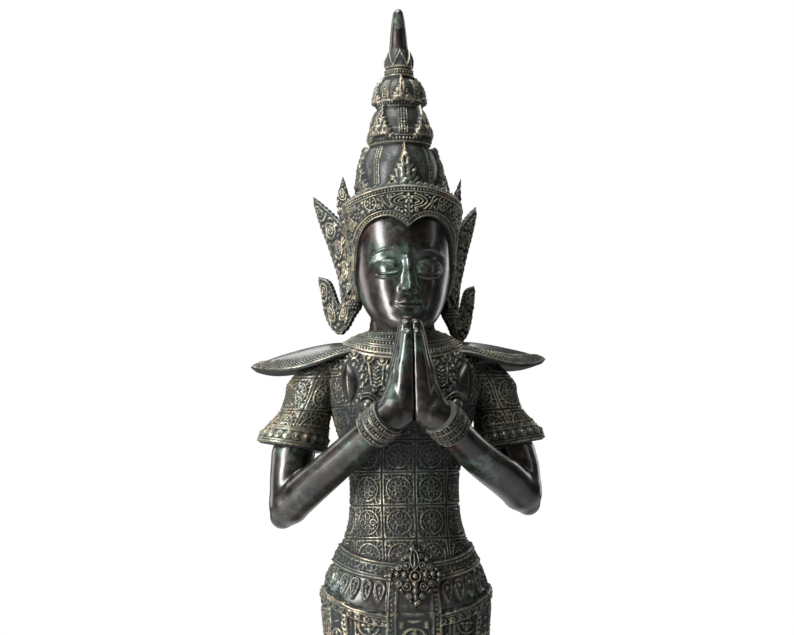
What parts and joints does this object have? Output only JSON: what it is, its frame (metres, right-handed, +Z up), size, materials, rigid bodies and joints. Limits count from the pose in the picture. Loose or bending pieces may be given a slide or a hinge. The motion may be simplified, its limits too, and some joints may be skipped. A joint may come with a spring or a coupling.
{
  "type": "bronze deity statue",
  "caption": "Standing deity in a tall tiered crown and winged shoulders, palms pressed together, cast in bronze on a low round lotus base.",
  "frame": {"origin": "centre of the base's underside, on the floor", "axes": "+Z up, the figure faces -Y, +X to the figure's own left"},
  "size_m": [0.416, 0.31, 1.35],
  "materials": {
    "bronze": "dark brown-black patinated bronze, worn to a soft sheen on the skin, with green patina in the hollows and pale dust on the relief",
    "base_bronze": "dark patinated bronze, duller than the figure, with green patina between the petals"
  },
  "bodies": {
    "root": {"figure": "bronze", "lotus_base": "base_bronze"}
  },
  "joints": []
}
